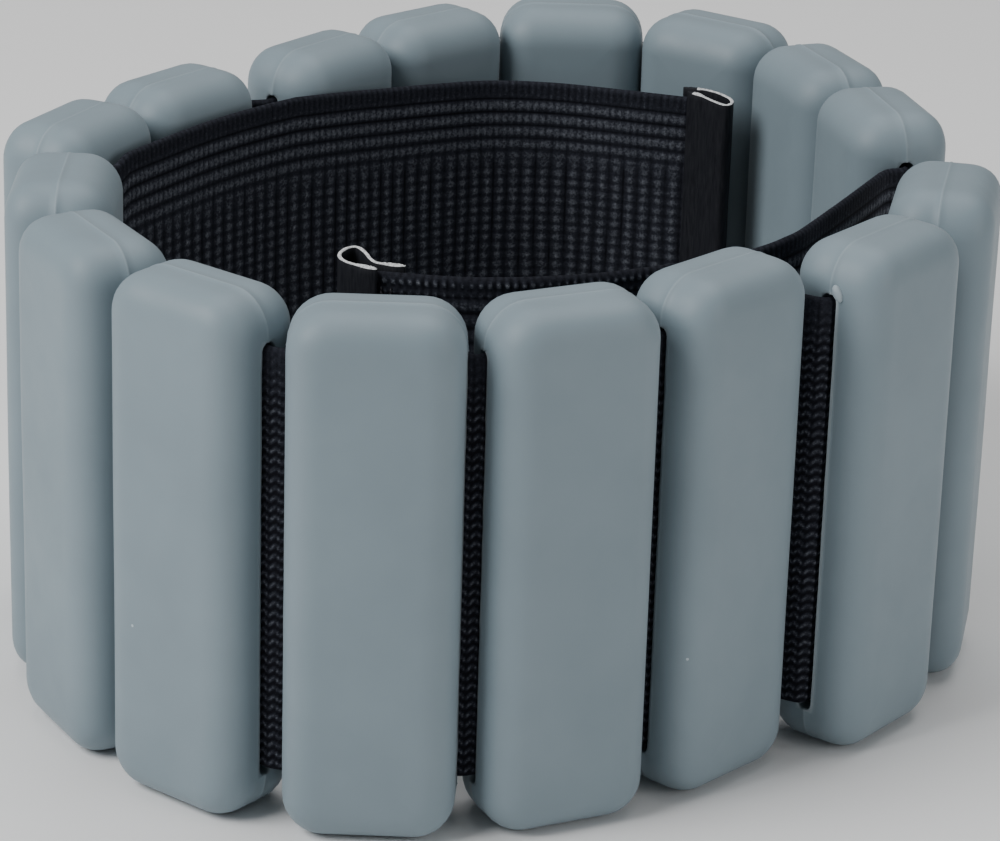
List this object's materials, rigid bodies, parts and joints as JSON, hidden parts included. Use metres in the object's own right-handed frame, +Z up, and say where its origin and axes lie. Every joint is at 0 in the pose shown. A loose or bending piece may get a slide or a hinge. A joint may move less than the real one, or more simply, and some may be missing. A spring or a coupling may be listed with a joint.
{
  "type": "wearable bar weight ring",
  "caption": "Wearable weight for wrist or ankle: silicone-covered steel bars strung on two elastic webbing bands, joined tail to end into one standing oval ring.",
  "frame": {"origin": "centre of the ring's outline in plan, on the plane it stands on", "axes": "+Z up along the bars; -Y the front, where the front band's middle bars are; +X to the right seen from the front"},
  "size_m": [0.1284, 0.1436, 0.066],
  "materials": {
    "jacket": "matte",
    "core": "satin",
    "webbing": "woven",
    "hook_tape": "rough",
    "tab_tape": "smooth",
    "thread": "matte"
  },
  "bodies": {
    "front_bar_1": {"front_jacket_1": "jacket", "front_core_1": "core", "front_strap_1": "webbing", "front_tail_held": "webbing"},
    "front_bar_2": {"front_jacket_2": "jacket", "front_core_2": "core", "front_strap_2": "webbing"},
    "front_bar_3": {"front_jacket_3": "jacket", "front_core_3": "core", "front_strap_3": "webbing"},
    "front_bar_4": {"front_jacket_4": "jacket", "front_core_4": "core", "front_strap_4": "webbing"},
    "front_bar_5": {"front_jacket_5": "jacket", "front_core_5": "core", "front_strap_5": "webbing"},
    "front_bar_6": {"front_jacket_6": "jacket", "front_core_6": "core", "front_strap_6": "webbing"},
    "front_bar_7": {"front_jacket_7": "jacket", "front_core_7": "core", "front_strap_7": "webbing"},
    "front_bar_8": {"front_jacket_8": "jacket", "front_core_8": "core", "front_strap_8": "webbing"},
    "rear_bar_1": {"rear_jacket_1": "jacket", "rear_core_1": "core", "rear_strap_1": "webbing", "rear_tail_held": "webbing"},
    "rear_bar_2": {"rear_jacket_2": "jacket", "rear_core_2": "core", "rear_strap_2": "webbing"},
    "rear_bar_3": {"rear_jacket_3": "jacket", "rear_core_3": "core", "rear_strap_3": "webbing"},
    "rear_bar_4": {"rear_jacket_4": "jacket", "rear_core_4": "core", "rear_strap_4": "webbing"},
    "rear_bar_5": {"rear_jacket_5": "jacket", "rear_core_5": "core", "rear_strap_5": "webbing"},
    "rear_bar_6": {"rear_jacket_6": "jacket", "rear_core_6": "core", "rear_strap_6": "webbing"},
    "rear_bar_7": {"rear_jacket_7": "jacket", "rear_core_7": "core", "rear_strap_7": "webbing"},
    "rear_bar_8": {"rear_jacket_8": "jacket", "rear_core_8": "core", "rear_strap_8": "webbing"},
    "front_tail": {"front_tail_end": "webbing", "front_hook_patch": "hook_tape", "front_end_tab": "tab_tape", "front_tab_stitching": "thread"},
    "rear_tail": {"rear_tail_end": "webbing", "rear_hook_patch": "hook_tape", "rear_end_tab": "tab_tape", "rear_tab_stitching": "thread"}
  },
  "joints": [
    {"name": "front_closure_hinge", "type": "hinge", "parent": "front_bar_1", "child": "rear_bar_8", "pos_m": [-0.05975, -0.00634, 0.033], "axis": [0, 0, -1], "range_deg": [-24, 0]},
    {"name": "rear_hinge_7", "type": "hinge", "parent": "rear_bar_8", "child": "rear_bar_7", "pos_m": [-0.05017, 0.01416, 0.033], "axis": [0, 0, -1], "range_deg": [-17, 0]},
    {"name": "rear_hinge_6", "type": "hinge", "parent": "rear_bar_7", "child": "rear_bar_6", "pos_m": [-0.03549, 0.03295, 0.033], "axis": [0, 0, -1], "range_deg": [-6, 0]},
    {"name": "rear_hinge_5", "type": "hinge", "parent": "rear_bar_6", "child": "rear_bar_5", "pos_m": [-0.01844, 0.0499, 0.033], "axis": [0, 0, -1], "range_deg": [-16, 0]},
    {"name": "rear_hinge_4", "type": "hinge", "parent": "rear_bar_5", "child": "rear_bar_4", "pos_m": [-0.00164, 0.06502, 0.033], "axis": [0, 0, -1], "range_deg": [-49, 0]},
    {"name": "rear_hinge_3", "type": "hinge", "parent": "rear_bar_4", "child": "rear_bar_3", "pos_m": [0.02145, 0.06462, 0.033], "axis": [0, 0, -1], "range_deg": [-40, 0]},
    {"name": "rear_hinge_2", "type": "hinge", "parent": "rear_bar_3", "child": "rear_bar_2", "pos_m": [0.03997, 0.05166, 0.033], "axis": [0, 0, -1], "range_deg": [-39, 0]},
    {"name": "rear_hinge_1", "type": "hinge", "parent": "rear_bar_2", "child": "rear_bar_1", "pos_m": [0.04825, 0.03117, 0.033], "axis": [0, 0, -1], "range_deg": [-13, 0]},
    {"name": "rear_closure_hinge", "type": "hinge", "parent": "rear_bar_1", "child": "front_bar_8", "pos_m": [0.05599, 0.00448, 0.033], "axis": [0, 0, -1], "range_deg": [-26, 0]},
    {"name": "front_hinge_7", "type": "hinge", "parent": "front_bar_8", "child": "front_bar_7", "pos_m": [0.05392, -0.02425, 0.033], "axis": [0, 0, -1], "range_deg": [-34, 0]},
    {"name": "front_hinge_6", "type": "hinge", "parent": "front_bar_7", "child": "front_bar_6", "pos_m": [0.03859, -0.04318, 0.033], "axis": [0, 0, -1], "range_deg": [-11, 0]},
    {"name": "front_hinge_5", "type": "hinge", "parent": "front_bar_6", "child": "front_bar_5", "pos_m": [0.01806, -0.05582, 0.033], "axis": [0, 0, -1], "range_deg": [-28, 0]},
    {"name": "front_hinge_4", "type": "hinge", "parent": "front_bar_5", "child": "front_bar_4", "pos_m": [-0.00259, -0.06502, 0.033], "axis": [0, 0, -1], "range_deg": [-31, 0]},
    {"name": "front_hinge_3", "type": "hinge", "parent": "front_bar_4", "child": "front_bar_3", "pos_m": [-0.02543, -0.06462, 0.033], "axis": [0, 0, -1], "range_deg": [-44, 0]},
    {"name": "front_hinge_2", "type": "hinge", "parent": "front_bar_3", "child": "front_bar_2", "pos_m": [-0.043, -0.05039, 0.033], "axis": [0, 0, -1], "range_deg": [-27, 0]},
    {"name": "front_tail_peel", "type": "hinge", "parent": "front_bar_1", "child": "front_tail", "pos_m": [0.00421, 0.04684, 0.033], "axis": [0, 0, -1], "range_deg": [0, 60]},
    {"name": "rear_tail_peel", "type": "hinge", "parent": "rear_bar_1", "child": "rear_tail", "pos_m": [0.00567, -0.03668, 0.033], "axis": [0, 0, -1], "range_deg": [0, 60]}
  ]
}
